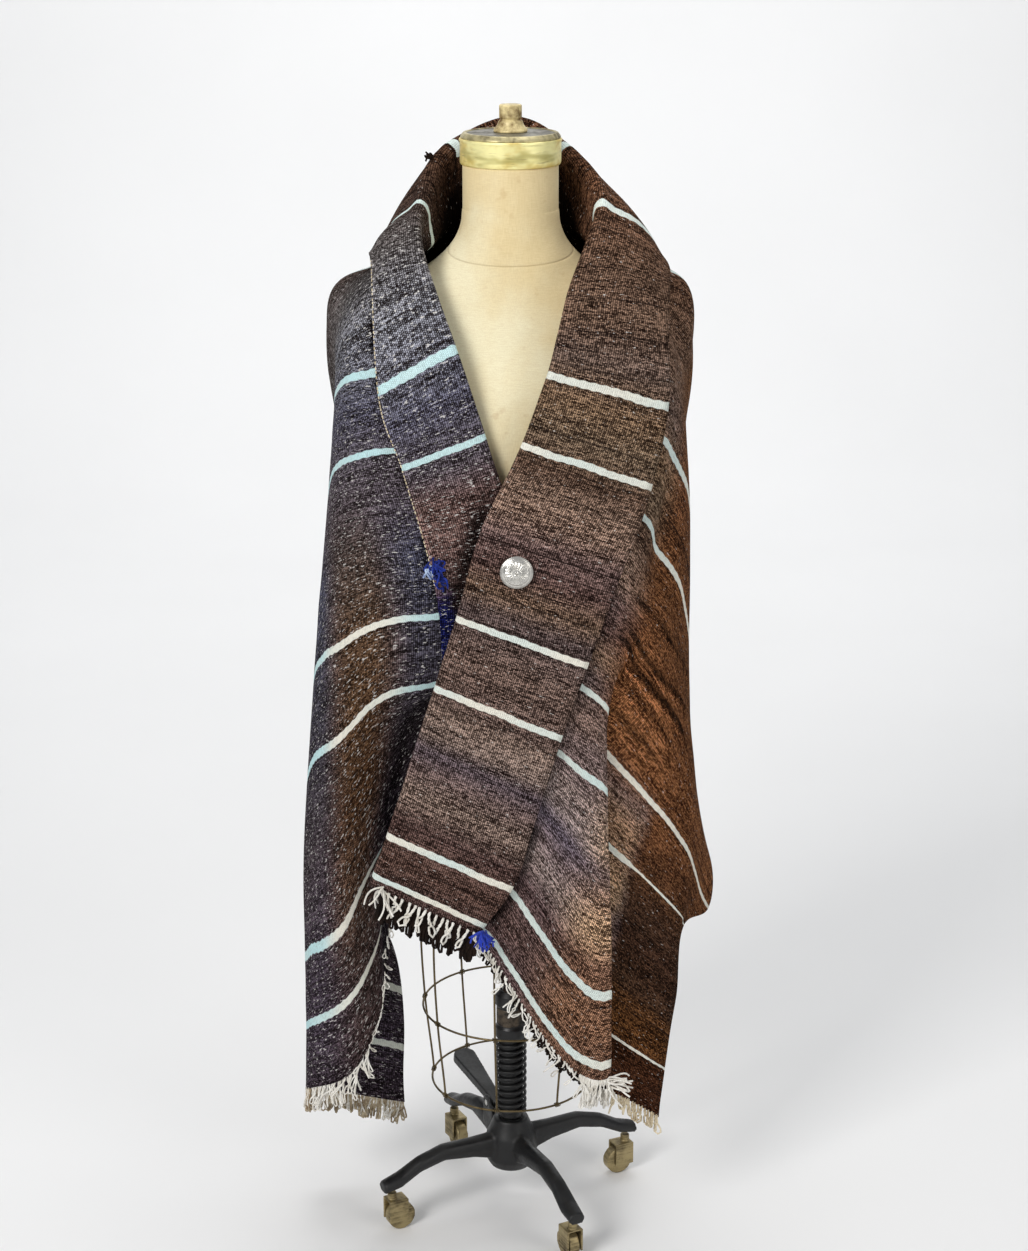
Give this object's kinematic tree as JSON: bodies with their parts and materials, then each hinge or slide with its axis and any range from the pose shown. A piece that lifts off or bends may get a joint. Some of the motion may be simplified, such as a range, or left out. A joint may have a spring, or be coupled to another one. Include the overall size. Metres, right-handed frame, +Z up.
{
  "type": "navajo wearing blanket on a limbless dress form with a wheeled stand",
  "caption": "Striped, fringed wool wearing blanket draped as a shawl with a folded collar and button, on a limbless dress form with a wire cage, pole and wheeled base.",
  "frame": {"origin": "on the floor, under the middle of the object's overall size, where the form's pole stands", "axes": "+Z up, the front of the blanket and form faces -Y, +X is to the right seen from the front"},
  "size_m": [0.5194, 0.3458, 1.409],
  "materials": {
    "wool": "heathered dark brown handwoven wool with pale stripes",
    "fringe": "undyed wool yarn",
    "yarn": "indigo wool yarn",
    "silver": "stamped silver with a dark patina",
    "linen": "aged cream linen",
    "brass": "worn olive brass",
    "steel": "dull steel",
    "ivory": "cream painted turned wood",
    "iron": "black enamelled cast iron",
    "wire": "tarnished wire"
  },
  "bodies": {
    "base": {"base_casting": "iron", "pedal_pin": "steel", "column_tube": "iron", "column_collar": "iron", "column_spring": "iron"},
    "pedal": {"foot_pedal": "iron"},
    "caster_swivel_1": {"caster_fork_1": "brass"},
    "caster_roller_1": {"caster_wheel_1": "brass"},
    "caster_swivel_2": {"caster_fork_2": "brass"},
    "caster_roller_2": {"caster_wheel_2": "brass"},
    "caster_swivel_3": {"caster_fork_3": "brass"},
    "caster_roller_3": {"caster_wheel_3": "brass"},
    "caster_swivel_4": {"caster_fork_4": "brass"},
    "caster_roller_4": {"caster_wheel_4": "brass"},
    "form": {"front_right": "wool", "front_right_outer": "wool", "side_right": "wool", "shoulder_right": "wool", "collar_stand": "wool", "back_right": "wool", "back_left": "wool", "shoulder_left": "wool", "front_left": "wool", "side_left": "wool", "lapel_right": "wool", "collar": "wool", "lapel_left": "wool", "fringe_front_right": "fringe", "fringe_outer_right": "fringe", "fringe_front_left": "fringe", "fringe_side_left": "fringe", "fringe_lapel": "fringe", "button": "silver", "corner_tassel": "yarn", "torso": "linen", "neck": "linen", "neck_cap": "brass", "cap_lid": "steel", "cap_knob": "ivory", "cage": "wire", "pole": "steel"}
  },
  "joints": [
    {"name": "height_slide", "type": "slide", "parent": "base", "child": "form", "axis": [0, 0, 1], "range_m": [0, 0.18]},
    {"name": "pedal_hinge", "type": "hinge", "parent": "base", "child": "pedal", "pos_m": [-0.01973, 0.04045, 0.12], "axis": [-0.8988, -0.4384, 0], "range_deg": [0, 12], "stiffness_Nm_per_rad": 6, "springref_deg": -5.73},
    {"name": "swivel_1", "type": "hinge", "parent": "base", "child": "caster_swivel_1", "pos_m": [0.15147, 0.07718, 0.045], "axis": [0, 0, 1], "continuous": true},
    {"name": "roll_1", "type": "hinge", "parent": "caster_swivel_1", "child": "caster_roller_1", "pos_m": [0.14167, 0.07218, 0.018], "axis": [0.454, -0.891, 0], "continuous": true},
    {"name": "swivel_2", "type": "hinge", "parent": "base", "child": "caster_swivel_2", "pos_m": [-0.07718, 0.15147, 0.045], "axis": [0, 0, 1], "continuous": true},
    {"name": "roll_2", "type": "hinge", "parent": "caster_swivel_2", "child": "caster_roller_2", "pos_m": [-0.07218, 0.14167, 0.018], "axis": [0.891, 0.454, 0], "continuous": true},
    {"name": "swivel_3", "type": "hinge", "parent": "base", "child": "caster_swivel_3", "pos_m": [-0.15147, -0.07718, 0.045], "axis": [0, 0, 1], "continuous": true},
    {"name": "roll_3", "type": "hinge", "parent": "caster_swivel_3", "child": "caster_roller_3", "pos_m": [-0.14167, -0.07218, 0.018], "axis": [-0.454, 0.891, 0], "continuous": true},
    {"name": "swivel_4", "type": "hinge", "parent": "base", "child": "caster_swivel_4", "pos_m": [0.07718, -0.15147, 0.045], "axis": [0, 0, 1], "continuous": true},
    {"name": "roll_4", "type": "hinge", "parent": "caster_swivel_4", "child": "caster_roller_4", "pos_m": [0.07218, -0.14167, 0.018], "axis": [-0.891, -0.454, 0], "continuous": true}
  ]
}
